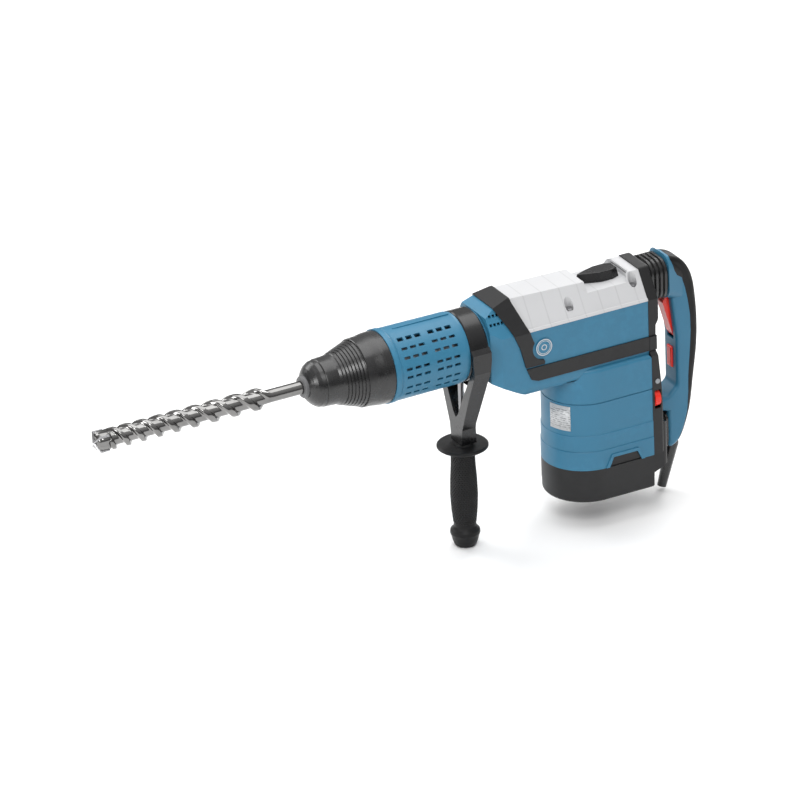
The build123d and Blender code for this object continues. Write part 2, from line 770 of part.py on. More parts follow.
# Plate across the housing that carries the crank and the intermediate shaft
PLATE_LOW = -53
PLATE_HIGH = -44
with BuildPart() as bearing_plate:
    with BuildSketch(Plane.XY.offset(PLATE_LOW)):
        with Locations((248, 0)):
            Rectangle(104, 2 * (HALF_WIDTH - WALL))
        with Locations((CRANK_X, 0)):
            Circle(18, mode=Mode.SUBTRACT)
        with Locations((MIDDLE_X, 0)):
            Circle(11, mode=Mode.SUBTRACT)
        with GridLocations(84, 76, 2, 2):
            Circle(3, mode=Mode.SUBTRACT)
    extrude(amount=PLATE_HIGH - PLATE_LOW)
keep(bearing_plate, "bearing_plate")

with BuildPart() as gear_bearings:
    add(ball_bearing(crank_axis, PLATE_LOW, PLATE_HIGH, 9 + MOTOR_RUN, 18, 11, 2.2))
    add(ball_bearing(upright_axis(MIDDLE_X), PLATE_LOW, PLATE_HIGH, 5 + MOTOR_RUN, 11, 8, 1.5))
keep(gear_bearings, "gear_bearings")

with BuildPart() as electronics_module:
    with Locations((356, 0, -14)):
        Box(40, 72, 44)
    fillet(electronics_module.edges().filter_by(Axis.Z), radius=3)
    with Locations((336, 0, -14)):
        with GridLocations(0.1, 12, 1, 5):
            Box(6, 3, 36, mode=Mode.SUBTRACT)
keep(electronics_module, "electronics_module")

# ======================= rear covers ==================================================
def rear_section(grow):
    """Rear cover outline: the gear housing above, the wider motor column below."""
    with BuildPart() as slab:
        with BuildSketch(Plane.YZ.offset(HOUSING_REAR)) as outline:
            with BuildLine():
                Polyline(
                    (-57.5, BASE_TOP), (57.5, BASE_TOP), (57.5, -62), (50.5, -56), (50.5, SHOULDER_Z),
                    (25, 57), (-25, 57), (-50.5, SHOULDER_Z), (-50.5, -56), (-57.5, -62), close=True,
                )
            make_face()
            fillet(outline.vertices().group_by(Axis.Y)[-1], radius=6)
            if grow:
                offset(amount=grow)
        extrude(amount=COVER_REAR - HOUSING_REAR + grow)
    return slab.part


SPEED_Z = -127
SPEED_X = 391
PIN_HEIGHTS = (22, -194)
rear_profile = (
    (COVER_REAR, 70), (COVER_REAR, -10), (394, -20), (393, -60), (397, -105),
    (COVER_REAR, -140), (COVER_REAR, BASE_TOP - 10),
)
with BuildPart() as rear_hollow:
    add(rear_section(-WALL))
    inner_profile = [(x - WALL, z) for x, z in rear_profile]
    inner_side = [(HOUSING_REAR - 1, 70), *inner_profile, (HOUSING_REAR - 1, BASE_TOP - 10)]
    add(side_prism(inner_side, 80), mode=Mode.INTERSECT)

with BuildPart() as rear_cover:
    add(rear_section(0))
    fillet(rear_cover.faces().sort_by(Axis.X)[-1].edges(), radius=4)
    add(side_prism([(HOUSING_REAR, 70), *rear_profile, (HOUSING_REAR, BASE_TOP - 10)], 80), mode=Mode.INTERSECT)
    with BuildPart(mode=Mode.PRIVATE) as pads:
        with Locations((389, 0, (STRIPE_TOP + STRIPE_BOTTOM) / 2)):
            Box(12, 105, 20)
        fillet(pads.edges().filter_by(Axis.Z), radius=1.5)
    add(pads.part)
    add(rear_hollow.part, mode=Mode.SUBTRACT)
    with Locations((SPEED_X, -55, SPEED_Z)):
        Box(9.4, 30, 27.4, mode=Mode.SUBTRACT)
    with Locations((SPEED_X, -57, -100)):
        Cylinder(3.6, 10, rotation=(90, 0, 0), mode=Mode.SUBTRACT)
    for height in PIN_HEIGHTS:
        with Locations((COVER_REAR, 0, height)):
            Cylinder(6, 30, rotation=(0, 90, 0), mode=Mode.SUBTRACT)
keep(rear_cover, "rear_cover")

with BuildPart() as indicator_lens:
    with Locations((SPEED_X, -56.5, -100)):
        Cylinder(3.5, 4, rotation=(90, 0, 0))
keep(indicator_lens, "indicator_lens")

with BuildPart() as speed_wheel:
    with Locations(Location((SPEED_X, -47, SPEED_Z), (0, 90, 0))):
        Cylinder(13, 8)
        with PolarLocations(13.2, 24):
            Cylinder(0.7, 8, mode=Mode.SUBTRACT)
keep(speed_wheel, "speed_wheel")

with BuildPart() as lower_rear_cover:
    with BuildSketch(Plane.XZ):
        with BuildLine():
            Polyline(
                (COVER_REAR, -166), (LOWER_COVER_REAR - 3, -168), (LOWER_COVER_REAR, -171), (LOWER_COVER_REAR, -230),
                (HOUSING_REAR, -241), (HOUSING_REAR, BASE_TOP), (COVER_REAR, BASE_TOP), close=True,
            )
        make_face()
    extrude(amount=50, both=True)
    fillet(lower_rear_cover.faces().sort_by(Axis.X)[-1].edges().filter_by(Axis.Z), radius=8)
    with BuildSketch(Plane.XZ):
        with BuildLine():
            Polyline(
                (COVER_REAR - 1, -174), (LOWER_COVER_REAR - 3, -174), (LOWER_COVER_REAR - 3, -227),
                (HOUSING_REAR - 1, -236), (HOUSING_REAR - 1, BASE_TOP - 3), (COVER_REAR - 1, BASE_TOP - 3), close=True,
            )
        make_face()
    extrude(amount=46, both=True, mode=Mode.SUBTRACT)
    with Locations((LOWER_COVER_REAR, 0, PIN_HEIGHTS[1])):
        Cylinder(6, 30, rotation=(0, 90, 0), mode=Mode.SUBTRACT)
keep(lower_rear_cover, "lower_rear_cover")

with BuildPart() as guide_pins:
    for height in PIN_HEIGHTS:
        with Locations((420, 0, height)):
            Cylinder(6, 56, rotation=(0, 90, 0))
keep(guide_pins, "guide_pins")

with BuildPart() as housing_screws:
    for x, y, seat in SCREW_SEATS:
        with Locations((x, y, seat + 1.5)):
            Cylinder(4.6, 3)
            Box(1.2, 7, 1.6, mode=Mode.SUBTRACT)
        with Locations((x, y, seat - 5)):
            Cylinder(2.1, 10)
    for side in (-1, 1):
        for place, across in ((280, 34), (362, 44)):
            with Locations((place, side * across, CAP_BOTTOM + 1.1)):
                Cylinder(4.4, 1.8)
keep(housing_screws, "housing_screws")

# ======================= controls =====================================================
with BuildPart() as mode_lever:
    with BuildSketch(Plane.XY.offset(POCKET_FLOOR + 0.6)):
        with BuildLine():
            Polyline(
                (302, -2.5), (316, -8), (332, -13.5), (350, -14), (362, -9), (362, 9), (350, 14), (332, 13.5),
                (316, 8), (302, 2.5), close=True,
            )
        make_face()
    extrude(amount=13, taper=10)
    fillet(mode_lever.edges().group_by(Axis.Z)[-1], radius=1.2)
    with Locations((LEVER_X, 0, POCKET_FLOOR - 3)):
        Cylinder(6, 10)
keep(mode_lever, "mode_lever")

# ======================= side handle ==================================================
with BuildPart() as clamp_band:
    add(turned(Axis.X, [
        (BARREL_END + 0.4, NECK_R + RUN), (BARREL_END + 0.4, 47.5), (BARREL_END + 2, 48.6), (CLAMP_END - 2, 48.6),
        (CLAMP_END, 47.5), (CLAMP_END, NECK_R + RUN),
    ]))
keep(clamp_band, "clamp_band")

YOKE_MIDDLE = (BARREL_END + CLAMP_END) / 2
with BuildPart() as handle_yoke:
    with BuildSketch(Plane.YZ.offset(BARREL_END)):
        with BuildLine():
            Polyline(
                (-54, 6), (-54, -22), (-17, -118), (-14, -142), (14, -142), (17, -118), (54, -22), (54, 6),
                (48, 12), (44, 12), (40, -30), (6, -98), (0, -104), (-6, -98), (-40, -30), (-44, 12), (-48, 12),
                close=True,
            )
        make_face()
    extrude(amount=CLAMP_END - BARREL_END)
    with BuildSketch(Plane.YZ.offset(CLAMP_END - 5)):
        with BuildLine():
            Polyline((-42, -20), (42, -20), (8, -100), (-8, -100), close=True)
        make_face()
    extrude(amount=5)
    with BuildSketch(Plane.XZ):
        with BuildLine():
            Polyline(
                (BARREL_END, 12), (CLAMP_END, 12), (CLAMP_END, -6), (CLAMP_END - 2, -24), (GRIP_X + 11, -110),
                (GRIP_X + 14, -142), (GRIP_X - 14, -142), (GRIP_X - 11, -110), (BARREL_END + 2, -24),
                (BARREL_END, -6), close=True,
            )
        make_face()
    extrude(amount=80, both=True, mode=Mode.INTERSECT)
    with Locations((YOKE_MIDDLE, 0, 0)):
        Cylinder(48.7, 60, rotation=(0, 90, 0), mode=Mode.SUBTRACT)
    with Locations((GRIP_X, 0, -110)):
        Cylinder(4, 120, mode=Mode.SUBTRACT)
keep(handle_yoke, "handle_yoke")

with BuildPart() as clamp_bolt:
    with Locations((GRIP_X, 0, -104)):
        Cylinder(4, 110)
keep(clamp_bolt, "clamp_bolt")

with BuildPart() as side_grip:
    add(turned(upright_axis(GRIP_X), [
        (-142.4, 4.1), (-142.4, 14), (-144.5, 15), (-145, 33), (-146.5, 35), (-148.5, 35), (-150, 33), (-150.5, 17),
        (-156, 15.6), (-176, 16.2), (-198, 17.6), (-222, 18.2), (-244, 17), (-262, 15), (-267, 15.4), (-270, 17.2),
        (-273, 20), (-277, 20.4), (-281, 19), (-289, 17), (-294, 15), (GRIP_BOTTOM, 13), (GRIP_BOTTOM, 0),
        (-160, 0), (-160, 4.1),
    ]))
keep(side_grip, "side_grip")

# ======================= rear handle ==================================================
HANDLE_BACK = (
    (434, 57), (457, 46), (471, 24), (477, -6), (479.5, -58), (477, -96), (472, -132), (467, -168), (457, -203),
    (447, -221), (436, -228),
)


ARM_FRONT = 407
ARM_LOW = -165
ARM_HIGH = -151


def handle_form(inset):
    """The bar of the rear handle, seen from the side, with a smooth outer back and an arm
    that closes the finger gap below. An inset moves each point of the back towards the
    bar's middle line."""
    back_points = []
    for x, z in HANDLE_BACK:
        inwards = (Vector(448, min(max(z, -200), 30)) - Vector(x, z)).normalized() * inset
        back_points.append((x + inwards.X, z + inwards.Y))
    front = HANDLE_FRONT + inset
    with BuildPart() as form:
        with BuildSketch(Plane.XZ) as outline:
            with BuildLine():
                back = Spline(back_points)
                Polyline(
                    back @ 1,
                    (front, -224 + inset),
                    (front, ARM_LOW - 8 + inset),
                    (ARM_FRONT + inset, ARM_LOW + inset),
                    (ARM_FRONT + inset, ARM_HIGH - inset),
                    (front, ARM_HIGH - inset),
                    (BAR_FRONT + inset, ARM_HIGH + 14 - inset),
                    (BAR_FRONT + inset, -66),
                    (BAR_FRONT - 7 + inset, -4 + inset),
                    (front, -4 + inset),
                    (front, 53 - inset),
                    back @ 0,
                )
            make_face()
            if not inset:
                corners = [
                    corner
                    for corner in outline.vertices()
                    if abs(corner.Y - ARM_HIGH) < 0.1 and corner.X > ARM_FRONT + 1
                    or abs(corner.Y - ARM_HIGH - 14) < 0.1
                ]
                fillet(corners, radius=9)
        extrude(amount=HANDLE_HALF - inset, both=True)
    return form.part


handle_outer = handle_form(0)
handle_inner = handle_form(WALL)
TRIGGER_PIVOT = (452, 0, -62)
BUTTON_Z = -99
overmould_region = side_prism(
    [
        (436, 70), (437, 53), (440, 38), (445, 29), (454, 22), (459, 6), (463, -14), (466, -36), (466.5, -60),
        (465, -84), (461.5, -125), (461, -150), (459, -178), (453, -202), (444, -220), (434, -240), (500, -240), (500, 70),
    ],
    40,
)
with BuildPart() as handle_head:
    with BuildSketch(Plane.YZ.offset(HANDLE_FRONT)):
        with Locations((0, 28.5)):
            RectangleRounded(2 * HEAD_HALF, 63, 17)
    with BuildSketch(Plane.YZ.offset(HANDLE_FRONT + 30)):
        with Locations((0, 9)):
            RectangleRounded(33, 54, 12)
    loft()

with BuildPart() as handle_solid:
    add(handle_outer)
    rim = handle_solid.edges().filter_by(lambda edge: abs(abs(edge.center().Y) - HANDLE_HALF) < 0.01)
    fillet(rim.filter_by(lambda edge: edge.center().X > BAR_FRONT + 3), radius=8)
    rim = handle_solid.edges().filter_by(lambda edge: abs(abs(edge.center().Y) - HANDLE_HALF) < 0.01)
    fillet(rim.filter_by(lambda edge: edge.center().X <= BAR_FRONT + 3), radius=5)
    add(handle_head.part)

with BuildPart() as handle_body:
    add(handle_solid.part)
    add(handle_inner, mode=Mode.SUBTRACT)
    add(overmould_region, mode=Mode.SUBTRACT)
    with Locations((BAR_FRONT, 0, -33)):
        Box(28, 17, 78, mode=Mode.SUBTRACT)
    with Locations((BAR_FRONT, 0, BUTTON_Z)):
        Box(16, 12.6, 30.6, mode=Mode.SUBTRACT)
    with Locations(TRIGGER_PIVOT):
        Cylinder(2, 2 * HANDLE_HALF - WALL, rotation=(90, 0, 0))
    for height in PIN_HEIGHTS:
        with Locations((HANDLE_FRONT, 0, height)):
            Cylinder(6 + RUN, 20, rotation=(0, 90, 0), mode=Mode.SUBTRACT)
keep(handle_body, "handle_body")

with BuildPart() as handle_overmould:
    add(handle_solid.part)
    add(handle_inner, mode=Mode.SUBTRACT)
    add(overmould_region, mode=Mode.INTERSECT)
keep(handle_overmould, "handle_overmould")

with BuildPart() as switch_module:
    with Locations((466, 0, -40)):
        Box(12, 22, 56)
    fillet(switch_module.edges().filter_by(Axis.Y), radius=2)
keep(switch_module, "switch_module")

with BuildPart() as trigger:
    with BuildSketch(Plane.XZ) as trigger_side:
        with BuildLine():
            Polyline(
                (429.5, -14), (443.5, -62), (447, -68), (455, -67), (453, -2), (440, 2), (434, -5), close=True
            )
        make_face()
    extrude(amount=8, both=True)
    fillet(trigger.edges().filter_by(Axis.Y).group_by(Axis.X)[0], radius=3)
    with Locations(TRIGGER_PIVOT):
        Cylinder(2 + RUN, 20, rotation=(90, 0, 0), mode=Mode.SUBTRACT)
keep(trigger, "trigger")

with BuildPart() as lock_button:
    with Locations((BAR_FRONT + 6, 0, BUTTON_Z)):
        Box(18, 12, 30)
    fillet(lock_button.faces().sort_by(Axis.X)[0].edges(), radius=2)
keep(lock_button, "lock_button")


def bellows_form(front, rear, low, high, half_width, folds, corner):
    """A rubber gaiter: folds that stand out between its two ends."""
    pitch = (rear - front) / (2 * folds + 1)
    middle = (low + high) / 2
    with BuildPart() as gaiter:
        for fold in range(2 * folds + 1):
            inset = 0 if fold % 2 == 1 else 3.5
            with BuildSketch(Plane.YZ.offset(front + fold * pitch)):
                with Locations((0, middle)):
                    RectangleRounded(2 * (half_width - inset), high - low - 2 * inset, corner)
                    RectangleRounded(2 * (half_width - 6), high - low - 12, corner - 2, mode=Mode.SUBTRACT)
            extrude(amount=pitch)
    return gaiter.part


with BuildPart() as bellows:
    add(bellows_form(COVER_REAR, HANDLE_FRONT, -3, 56, HEAD_HALF, 4, 18))
    add(bellows_form(LOWER_COVER_REAR, HANDLE_FRONT, -226, -175, 20, 3, 8))
keep(bellows, "bellows")

with BuildPart() as handle_springs:
    add(coil_spring((COVER_REAR + 2, 0, PIN_HEIGHTS[0]), (1, 0, 0), 26, 8.5, 1, 5))
    add(coil_spring((LOWER_COVER_REAR + 2, 0, PIN_HEIGHTS[1]), (1, 0, 0), 15, 8.5, 1, 3))
keep(handle_springs, "handle_springs")

# Cable boot: leans forward, bored for a 9 mm cable
BOOT_LEAN = 16
boot_plane = Plane((444, 0, -231), x_dir=(cos(radians(BOOT_LEAN)), 0, -sin(radians(BOOT_LEAN))),
                   z_dir=(-sin(radians(BOOT_LEAN)), 0, -cos(radians(BOOT_LEAN))))
with BuildPart() as strain_relief:
    for distance, radius in ((0, 8.8), (62, 6.2)):
        with BuildSketch(boot_plane.offset(distance)):
            Circle(radius)
    loft()
    with Locations((443, 0, -229.6)):
        Cylinder(10, 3)
    with BuildSketch(boot_plane.offset(20)):
        Circle(4.6)
    extrude(amount=60, mode=Mode.SUBTRACT)
keep(strain_relief, "strain_relief")
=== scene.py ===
"""Looks of the rotary demolition hammer: materials, moulded detail, fluted bit, lights and camera."""

import json
import math

import bmesh
import bpy
from mathutils import Matrix, Vector


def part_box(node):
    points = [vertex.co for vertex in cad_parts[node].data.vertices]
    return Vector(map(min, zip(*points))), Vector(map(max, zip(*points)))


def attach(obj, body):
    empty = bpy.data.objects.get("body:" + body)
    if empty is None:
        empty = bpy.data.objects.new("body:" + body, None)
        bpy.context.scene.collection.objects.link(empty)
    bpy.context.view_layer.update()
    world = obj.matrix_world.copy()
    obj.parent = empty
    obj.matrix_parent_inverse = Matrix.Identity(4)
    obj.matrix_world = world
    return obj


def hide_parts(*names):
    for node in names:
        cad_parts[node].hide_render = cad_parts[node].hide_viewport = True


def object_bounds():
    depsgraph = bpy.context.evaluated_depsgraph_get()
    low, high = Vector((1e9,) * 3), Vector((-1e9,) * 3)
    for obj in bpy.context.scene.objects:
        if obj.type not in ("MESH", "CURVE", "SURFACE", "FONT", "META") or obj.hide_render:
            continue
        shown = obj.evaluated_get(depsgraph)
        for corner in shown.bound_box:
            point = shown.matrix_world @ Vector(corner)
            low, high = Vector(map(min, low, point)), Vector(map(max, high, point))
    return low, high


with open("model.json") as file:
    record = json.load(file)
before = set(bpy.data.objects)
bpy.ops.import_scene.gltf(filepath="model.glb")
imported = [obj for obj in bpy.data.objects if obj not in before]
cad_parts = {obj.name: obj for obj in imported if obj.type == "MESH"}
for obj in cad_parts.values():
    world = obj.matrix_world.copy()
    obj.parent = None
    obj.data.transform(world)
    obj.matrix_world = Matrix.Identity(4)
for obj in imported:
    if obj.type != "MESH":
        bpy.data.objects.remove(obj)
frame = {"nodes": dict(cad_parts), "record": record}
cad_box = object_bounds()
nodes = frame["nodes"]


# ---- shader building --------------------------------------------------------------------
class Shader:
    """A material's node tree, with short calls for the nodes used here."""

    def __init__(self, name):
        self.material = bpy.data.materials.new(name)
        self.material.use_nodes = True
        self.tree = self.material.node_tree
        self.bsdf = self.tree.nodes["Principled BSDF"]
        self.place = self.add("ShaderNodeTexCoord").outputs["Object"]

    def add(self, kind, **settings):
        node = self.tree.nodes.new(kind)
        for key, value in settings.items():
            setattr(node, key, value)
        return node

    def link(self, source, target):
        self.tree.links.new(source, target)

    def set(self, **values):
        for key, value in values.items():
            self.bsdf.inputs[key.replace("_", " ")].default_value = value

    def noise(self, scale, detail, roughness=0.55, stretch=None):
        node = self.add("ShaderNodeTexNoise")
        node.inputs["Scale"].default_value = scale
        node.inputs["Detail"].default_value = detail
        node.inputs["Roughness"].default_value = roughness
        if stretch:
            mapping = self.add("ShaderNodeMapping")
            mapping.inputs["Scale"].default_value = stretch
            self.link(self.place, mapping.inputs["Vector"])
            self.link(mapping.outputs["Vector"], node.inputs["Vector"])
        else:
            self.link(self.place, node.inputs["Vector"])
        return node.outputs["Fac"]

    def cells(self, scale):
        node = self.add("ShaderNodeTexVoronoi", feature="F1")
        node.inputs["Scale"].default_value = scale
        self.link(self.place, node.inputs["Vector"])
        return node.outputs["Distance"]

    def ramp(self, source, low, high, from_value, to_value):
        node = self.add("ShaderNodeMapRange")
        node.inputs["From Min"].default_value = low
        node.inputs["From Max"].default_value = high
        node.inputs["To Min"].default_value = from_value
        node.inputs["To Max"].default_value = to_value
        self.link(source, node.inputs["Value"])
        return node.outputs["Result"]

    def blend(self, factor, first, second):
        node = self.add("ShaderNodeMix", data_type="RGBA")
        self.link(factor, node.inputs["Factor"])
        for value, socket in ((first, node.inputs["A"]), (second, node.inputs["B"])):
            if isinstance(value, tuple):
                socket.default_value = (*value, 1)
            else:
                self.link(value, socket)
        return node.outputs["Result"]

    def axes(self):
        node = self.add("ShaderNodeSeparateXYZ")
        self.link(self.place, node.inputs[0])
        return node.outputs

    def math(self, operation, first, second=None):
        node = self.add("ShaderNodeMath", operation=operation)
        for socket, value in zip(node.inputs, (first, second)):
            if isinstance(value, (int, float)):
                socket.default_value = value
            elif value is not None:
                self.link(value, socket)
        return node.outputs["Value"]

    def band(self, source, centre, half, soft):
        """1 within a half width of a value, fading to 0 over a soft edge."""
        away = self.math("ABSOLUTE", self.math("SUBTRACT", source, centre))
        return self.ramp(away, half, half + soft, 1, 0)

    def times(self, first, second):
        return self.math("MULTIPLY", first, second)

    def edges(self, low, high):
        """1 on outer edges, 0 on flat faces."""
        return self.ramp(self.add("ShaderNodeNewGeometry").outputs["Pointiness"], low, high, 0, 1)

    def bump(self, *layers):
        """Layers of (height, strength, distance in metres), one above the other."""
        normal = None
        for height, strength, distance in layers:
            node = self.add("ShaderNodeBump")
            node.inputs["Strength"].default_value = strength
            node.inputs["Distance"].default_value = distance
            self.link(height, node.inputs["Height"])
            if normal:
                self.link(normal, node.inputs["Normal"])
            normal = node.outputs["Normal"]
        self.link(normal, self.bsdf.inputs["Normal"])


def scaled(colour, factor):
    return tuple(min(1.0, c * factor) for c in colour)


def moulded(name, colour, roughness, grain, depth, edge_wear_and_highlight, coat=0.0):
    """Injection-moulded plastic: fine spark-eroded grain, slow colour drift, outer edges lightened in
    patches as rubbed wear and painted highlight.
    """
    s = Shader(name)
    drift = s.noise(14, 4)
    base = s.blend(s.ramp(drift, 0.35, 0.65, 0, 1), scaled(colour, 0.975), scaled(colour, 1.02))
    # Outer edges are lightened in noise patches: partly rubbed wear, partly a painted edge highlight.
    wear_and_edge_highlight = s.times(s.edges(0.55, 0.7), s.ramp(s.noise(90, 5), 0.45, 0.62, 0, 0.6))
    s.link(s.blend(wear_and_edge_highlight, base, scaled(colour, edge_wear_and_highlight)), s.bsdf.inputs["Base Color"])
    s.link(s.ramp(s.noise(45, 6), 0.3, 0.7, roughness - 0.03, roughness + 0.05), s.bsdf.inputs["Roughness"])
    s.set(IOR=1.46, Coat_Weight=coat, Coat_Roughness=0.18)
    s.bump((s.cells(grain), depth, 0.00006), (s.noise(60, 2), 0.05, 0.0004))
    return s.material


def rubber(name, colour, roughness, grain=2200, depth=0.35, sheen=0.06, ior=1.5):
    """Soft rubber: matt with a dusty sheen and a faint uneven surface."""
    s = Shader(name)
    dust = s.ramp(s.noise(26, 6, 0.65), 0.5, 0.8, 0, 0.35)
    s.link(s.blend(dust, colour, scaled(colour, 1.4)), s.bsdf.inputs["Base Color"])
    s.link(s.ramp(s.noise(70, 5), 0.3, 0.7, roughness - 0.08, roughness + 0.1), s.bsdf.inputs["Roughness"])
    s.set(IOR=ior, Sheen_Weight=sheen, Sheen_Roughness=0.5)
    s.bump((s.noise(grain, 2), depth, 0.00005), (s.noise(120, 3), 0.06, 0.0003))
    return s.material


def metal(name, colour, roughness, stretch=(1, 1, 1), lines=900, depth=0.15, stain=0.8):
    """Machined metal: fine tool lines along one direction, with patches of haze."""
    s = Shader(name)
    brushed = s.noise(lines, 4, 0.6, stretch)
    haze = s.noise(22, 5, 0.6)
    clouded = s.ramp(haze, 0.4, 0.7, 0, 1)
    s.link(s.blend(clouded, colour, scaled(colour, stain)), s.bsdf.inputs["Base Color"])
    lined = s.ramp(brushed, 0.3, 0.7, 0.8, 1.25)
    hazed = s.ramp(haze, 0.3, 0.7, roughness * 0.8, roughness * 1.3)
    s.link(s.times(lined, hazed), s.bsdf.inputs["Roughness"])
    s.set(Metallic=1.0)
    s.bump((brushed, depth, 0.00004))
    return s.material


def cover_plastic(name, colour, front, pitch):
    """White cover plastic with shallow cross grooves at an even spacing along X."""
    groove_place, half_width, soft_edge, groove_depth = 0.0022, 0.0004, 0.0009, 0.0008
    s = Shader(name)
    x = s.axes()["X"]
    steps = s.math("DIVIDE", s.math("SUBTRACT", x, front), pitch)
    place = s.math("MULTIPLY", s.math("FRACT", steps), pitch)
    groove = s.band(place, groove_place, half_width, soft_edge)
    # The grooves are coloured darker, towards 0.72 of the white, by an amount that varies in noise patches.
    groove_darkening = s.times(groove, s.ramp(s.noise(50, 4), 0.3, 0.7, 0.25, 0.6))
    drift = s.blend(s.ramp(s.noise(12, 4), 0.35, 0.65, 0, 1), scaled(colour, 0.965), colour)
    s.link(s.blend(groove_darkening, drift, scaled(colour, 0.72)), s.bsdf.inputs["Base Color"])
    s.link(s.ramp(s.noise(45, 6), 0.3, 0.7, 0.34, 0.46), s.bsdf.inputs["Roughness"])
    s.set(IOR=1.46)
    s.bump((groove, -0.9, groove_depth), (s.cells(1500), 0.16, 0.00006))
    return s.material


def emblem(name, centre, radii, blue, white):
    """Round badge: plain rings on the housing's blue, without any mark."""
    s = Shader(name)
    axes = s.axes()
    dx = s.math("SUBTRACT", axes["X"], centre[0])
    dz = s.math("SUBTRACT", axes["Z"], centre[1])
    away = s.math("SQRT", s.math("ADD", s.math("MULTIPLY", dx, dx), s.math("MULTIPLY", dz, dz)))
    marks = None
    for radius, half in radii:
        ring = s.band(away, radius, half, 0.0001)
        marks = ring if marks is None else s.math("MAXIMUM", marks, ring)
    s.link(s.blend(marks, blue, white), s.bsdf.inputs["Base Color"])
    s.link(s.ramp(s.noise(70, 5), 0.3, 0.7, 0.26, 0.38), s.bsdf.inputs["Roughness"])
    s.bump((marks, 0.6, 0.0003), (s.cells(1600), 0.1, 0.00005))
    return s.material


def label_foil(name):
    """Silvery rating label: blank fields and fine grey rules in place of any text."""
    rules_per_metre = 320
    field_middle, field_half, field_soft = -0.1322, 0.0150, 0.0004
    s = Shader(name)
    axes = s.axes()
    rows = s.math("FRACT", s.math("MULTIPLY", axes["Z"], rules_per_metre))
    rule = s.ramp(rows, 0.42, 0.5, 0, 1)
    patches = s.ramp(s.noise(260, 2, 0.5, (1, 1, 2.4)), 0.47, 0.53, 0, 1)
    inner = s.band(axes["Z"], field_middle, field_half, field_soft)
    ink = s.times(s.times(rule, patches), inner)
    s.link(s.blend(ink, (0.58, 0.59, 0.60), (0.26, 0.27, 0.28)), s.bsdf.inputs["Base Color"])
    s.set(Roughness=0.36, Metallic=0.15)
    s.bump((s.noise(500, 3), 0.08, 0.0001))
    return s.material


def cast(name, colour):
    """Die-cast alloy: sandy skin with small pits."""
    s = Shader(name)
    stain = s.ramp(s.noise(35, 5), 0.4, 0.65, 0, 1)
    s.link(s.blend(stain, colour, scaled(colour, 0.78)), s.bsdf.inputs["Base Color"])
    s.link(s.ramp(s.noise(160, 5), 0.3, 0.7, 0.34, 0.52), s.bsdf.inputs["Roughness"])
    s.set(Metallic=1.0)
    s.bump((s.noise(900, 4), 0.4, 0.0001), (s.cells(300), 0.1, 0.0001))
    return s.material


BLUE = (0.029, 0.163, 0.275)
WHITE = (0.53, 0.533, 0.543)
BLACK = (0.0065, 0.0065, 0.0072)
# The badge's middle in X and Z, and its rings as radius and half width.
BADGE_CENTRE = (0.222, -0.0084)
BADGE_RINGS = ((0.0114, 0.0006), (0.0092, 0.00035), (0.0036, 0.0006))
# Where the white cover's cross grooves start along X, and how far apart they are.
GROOVE_FRONT = 0.2055
GROOVE_PITCH = 0.027
looks = {
    "blue_plastic": moulded("blue_plastic", BLUE, 0.40, 1600, 0.22, 1.35),
    "black_plastic": moulded("black_plastic", BLACK, 0.46, 1300, 0.40, 1.9),
    "gloss_black": moulded("gloss_black", (0.005, 0.005, 0.0056), 0.25, 1800, 0.10, 2.0, 0.2),
    "black_rubber": rubber("black_rubber", (0.004, 0.004, 0.0044), 0.50, sheen=0.02, ior=1.36),
    "nose_rubber": rubber("nose_rubber", (0.0055, 0.0055, 0.006), 0.27, 1800, 0.10, ior=1.6),
    "white_plastic": cover_plastic("white_plastic", WHITE, GROOVE_FRONT, GROOVE_PITCH),
    "label_foil": label_foil("label_foil"),
    "red_plastic": moulded("red_plastic", (0.78, 0.028, 0.014), 0.30, 1600, 0.12, 1.1, 0.2),
    "grey_lens": moulded("grey_lens", (0.26, 0.28, 0.30), 0.14, 1600, 0.03, 1.2, 0.6),
    "badge_metal": emblem("badge_metal", BADGE_CENTRE, BADGE_RINGS, BLUE, WHITE),
    "cast_metal": cast("cast_metal", (0.60, 0.61, 0.62)),
    "polished_steel": metal("polished_steel", (0.25, 0.247, 0.243), 0.11, (1, 9, 9), 240, 0.06, 0.70),
    "tool_steel": metal("tool_steel", (0.40, 0.40, 0.41), 0.26, (14, 1, 1), 200, 0.10, 0.8),
    "spring_steel": metal("spring_steel", (0.38, 0.39, 0.41), 0.30),
    "screw_steel": metal("screw_steel", (0.33, 0.33, 0.34), 0.34, (1, 1, 1), 700, 0.2, 0.75),
    "seal_rubber": rubber("seal_rubber", (0.11, 0.11, 0.114), 0.5, 1500, 0.15),
    "core_steel": metal("core_steel", (0.20, 0.19, 0.19), 0.45, (1, 1, 40), 300, 0.4, 0.7),
    "copper": metal("copper", (0.72, 0.36, 0.20), 0.28, (1, 1, 20), 300, 0.15, 0.7),
    "carbon": rubber("carbon", (0.045, 0.045, 0.05), 0.5, 1500, 0.3),
    "board_green": moulded("board_green", (0.03, 0.14, 0.08), 0.3, 600, 0.3, 1.2),
}
slot_of = {row["node"]: row["material_slot"] for row in frame["record"]["subparts"]}
for name, obj in nodes.items():
    obj.data.materials.clear()
    obj.data.materials.append(looks[slot_of[name]])


# ---- mesh building ------------------------------------------------------------------------
def piece(name, verts, faces, body, slot, smooth=True, look=None):
    """A mesh riding on a body, with the look of its slot unless another is named."""
    mesh = bpy.data.meshes.new(name)
    mesh.from_pydata(verts, [], faces)
    bm = bmesh.new()
    bm.from_mesh(mesh)
    bmesh.ops.remove_doubles(bm, verts=bm.verts, dist=1e-7)
    bmesh.ops.recalc_face_normals(bm, faces=bm.faces)
    bm.to_mesh(mesh)
    bm.free()
    obj = bpy.data.objects.new(name, mesh)
    bpy.context.scene.collection.objects.link(obj)
    mesh.materials.append(looks[look or slot])
    for polygon in mesh.polygons:
        polygon.use_smooth = smooth
    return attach(obj, body)


